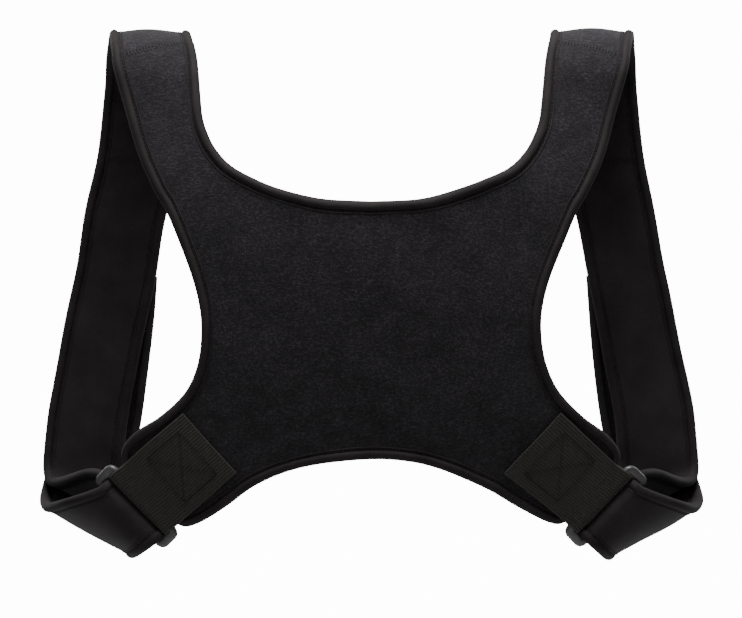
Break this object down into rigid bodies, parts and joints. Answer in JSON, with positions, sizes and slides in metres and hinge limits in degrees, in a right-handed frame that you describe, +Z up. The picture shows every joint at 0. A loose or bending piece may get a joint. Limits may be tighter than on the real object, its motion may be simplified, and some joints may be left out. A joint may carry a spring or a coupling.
{
  "type": "posture corrector",
  "caption": "Padded neoprene back brace with an H-shaped back panel and shoulder straps that pass under the arms, through oblong rings on webbing loops, and fasten on themselves.",
  "frame": {"origin": "midway between the two shoulder straps, at the height of the underside of their crests, where they sit on the shoulders", "axes": "+X across the shoulders, +Y to the wearer's front, so that the back panel is on the -Y side, +Z up"},
  "size_m": [0.4762, 0.1577, 0.3656],
  "materials": {
    "panel_cloth": "matte",
    "strap_cloth": "matte",
    "edge_tape": "satin",
    "webbing": "matte",
    "ring_plastic": "satin",
    "hook_cloth": "matte"
  },
  "bodies": {
    "root": {"back_panel": "panel_cloth", "neck_binding": "edge_tape", "waist_binding": "edge_tape", "armhole_binding_right": "edge_tape", "armhole_binding_left": "edge_tape", "strap_right": "strap_cloth", "strap_outer_binding_right": "edge_tape", "strap_inner_binding_right": "edge_tape", "webbing_right": "webbing", "ring_right": "ring_plastic", "hook_patch_right": "hook_cloth", "strap_left": "strap_cloth", "strap_outer_binding_left": "edge_tape", "strap_inner_binding_left": "edge_tape", "webbing_left": "webbing", "ring_left": "ring_plastic", "hook_patch_left": "hook_cloth"}
  },
  "joints": []
}
